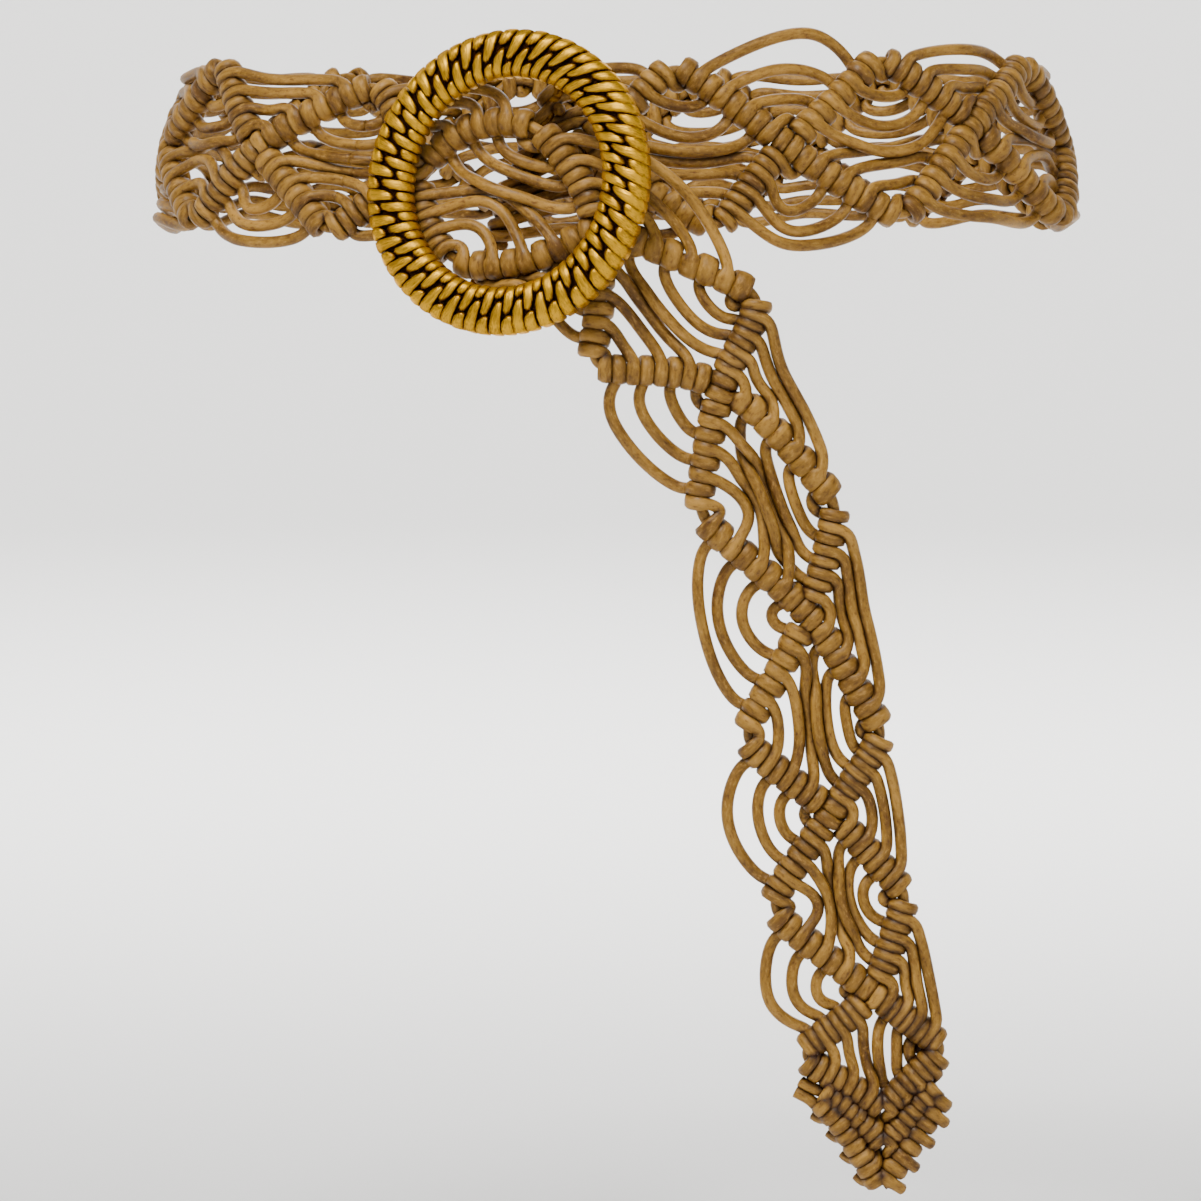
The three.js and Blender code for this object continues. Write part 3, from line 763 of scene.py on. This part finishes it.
# the ring's body under the pads, one full spin of a rounded section, and the bar on its legs
shape = bmesh.new()
crown_layer = shape.verts.layers.float.new("crown")
lay_layer = shape.verts.layers.float_vector.new("lay")
section = [Vector(ring_skin(np.array(0.0), np.array(a), -0.55) * MM) for a in np.linspace(-1, 1, 15)]
back = [Vector(in_ring(r, 0.0, -3.0) * MM) for r in (37.5, 33.0)]
corners = [shape.verts.new(p) for p in section + back]
edges = [shape.edges.new((corners[i - 1], corners[i])) for i in range(len(corners))]
bmesh.ops.spin(shape, geom=corners + edges, cent=Vector(ring_middle * MM), axis=Vector(ring_facing),
               dvec=(0, 0, 0), angle=2 * math.pi, steps=120, use_merge=True)
bmesh.ops.recalc_face_normals(shape, faces=shape.faces)
# the upper leg and half the bar: up from the ring's middle, and depth in shares of the bar's
LEG = [(35.25, 0.1), (35.25, 0.62), (33.5, 0.86), (30.5, 0.97), (26.0, 1.0), (13.0, 1.0), (0.0, 1.0)]
LOWER_LEG = [(-up, deep) for up, deep in LEG[-2::-1]]
bar_line = [in_ring(BAR_SHIFT, up, -BAR_BACK * deep) for up, deep in LEG + LOWER_LEG]
for i in range(len(bar_line)):
    way = Vector(unit(bar_line[min(i + 1, len(bar_line) - 1)] - bar_line[max(i - 1, 0)]))
    ring = bmesh.ops.create_circle(shape, segments=14, radius=BAR_RADIUS * MM)["verts"]
    bmesh.ops.rotate(shape, verts=ring, cent=(0, 0, 0), matrix=way.to_track_quat("Z", "Y").to_matrix())
    bmesh.ops.translate(shape, verts=ring, vec=Vector(bar_line[i] * MM))
    rim = list({edge for vert in ring for edge in vert.link_edges})
    if i:
        bmesh.ops.bridge_loops(shape, edges=last_rim + rim)
    last_rim = rim
bmesh.ops.holes_fill(shape, edges=[e for e in shape.edges if e.is_boundary])
bmesh.ops.recalc_face_normals(shape, faces=shape.faces)
# stained dark where it shows between the pads, half gilt on the back, the legs and the bar
STAINED, HALF_GILT, STAIN_DEPTH = 0.08, 0.5, 1.6
for vert in shape.verts:
    behind = -Vector(ring_facing).dot(vert.co - Vector(ring_middle * MM)) / MM
    vert[crown_layer] = STAINED if behind < STAIN_DEPTH else HALF_GILT
    vert[lay_layer] = vert.co / MM

# the pads: in each repeat a short one at the inner edge with a long one to the rim, and half a repeat on a long
# one from the inner edge with a short one at the rim. Both lean clockwise on their way out.
SLANTED_MOST = math.radians(67)
# the slant everywhere and what is added where it is greatest, in repeats
SLANT, MORE_SLANT = 0.3, 0.9
# start and end across the ring, middle and width in shares of a repeat
PAD_KINDS = [(-0.95, -0.18, 0.24, 0.47), (-0.13, 1.0, 0.24, 0.49),
             (-0.95, 0.07, 0.74, 0.49), (0.11, 1.0, 0.75, 0.49)]
blank = bmesh.new()
bmesh.ops.create_cube(blank, size=2.0)
bmesh.ops.subdivide_edges(blank, edges=blank.edges, cuts=2, use_grid_fill=True)
for vert in blank.verts:
    vert.co /= sum(abs(c) ** 5 for c in vert.co) ** 0.2
blank_pad = bpy.data.meshes.new("blank_pad")
blank.to_mesh(blank_pad)
blank.free()
cane = bmesh.new()
pad_crown = cane.verts.layers.float.new("crown")
pad_lay = cane.verts.layers.float_vector.new("lay")
step = 2 * math.pi / PADS
for repeat in range(PADS):
    for start, stop, column, width in PAD_KINDS:
        cane.from_mesh(blank_pad)
        cane.verts.ensure_lookup_table()
        wobble = chance.uniform(-0.03, 0.03, 4)
        slant = SLANT + MORE_SLANT * max(0.0, math.cos((repeat + column) * step + SLANTED_MOST)) ** 2
        tone = chance.uniform(-0.08, 0.06)
        for vert in cane.verts[-len(blank_pad.vertices):]:
            x, y, z = vert.co
            across = start + (stop - start + wobble[0]) * (x + 1) / 2 + 0.05 * y
            turn = (repeat + column + slant * seen_share(across) + wobble[1]
                    + y * (1.0 - 0.1 * abs(x) ** 3) * width / 2)
            lift = 0.1 + (1 + wobble[2]) * z
            vert.co = Vector(ring_skin(np.array(-turn * step), np.array(across), lift) * MM)
            # gilt on its crown; darker down its sides, at its edges and its ends, partly the brown stain and
            # partly painted shade where it meets the grooves; darker towards the ring's inner edge
            vert[pad_crown] = max(0.0, min(1.0, 0.5 + 0.6 * z) - 0.4 * abs(y) ** 5 - 0.3 * abs(x) ** 8
                                  - 0.75 * max(0.0, -0.66 - across) + tone)
            vert[pad_lay] = (x * (stop - start) * 9.0, y * width * 5.5, (repeat + start) * 7.3)
bpy.data.meshes.remove(blank_pad)
bmesh.ops.recalc_face_normals(cane, faces=cane.faces)
pad_mesh = bpy.data.meshes.new("cane_pads")
for face in cane.faces:
    face.smooth = True
cane.to_mesh(pad_mesh)
cane.free()
for face in shape.faces:
    face.smooth = True
body_mesh = bpy.data.meshes.new("ring_body")
shape.to_mesh(body_mesh)
shape.free()
for name, mesh in (("ring_body", body_mesh), ("cane_pads", pad_mesh)):
    piece = show(name, mesh, resin)
    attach(piece, "root")
    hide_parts("buckle_ring")
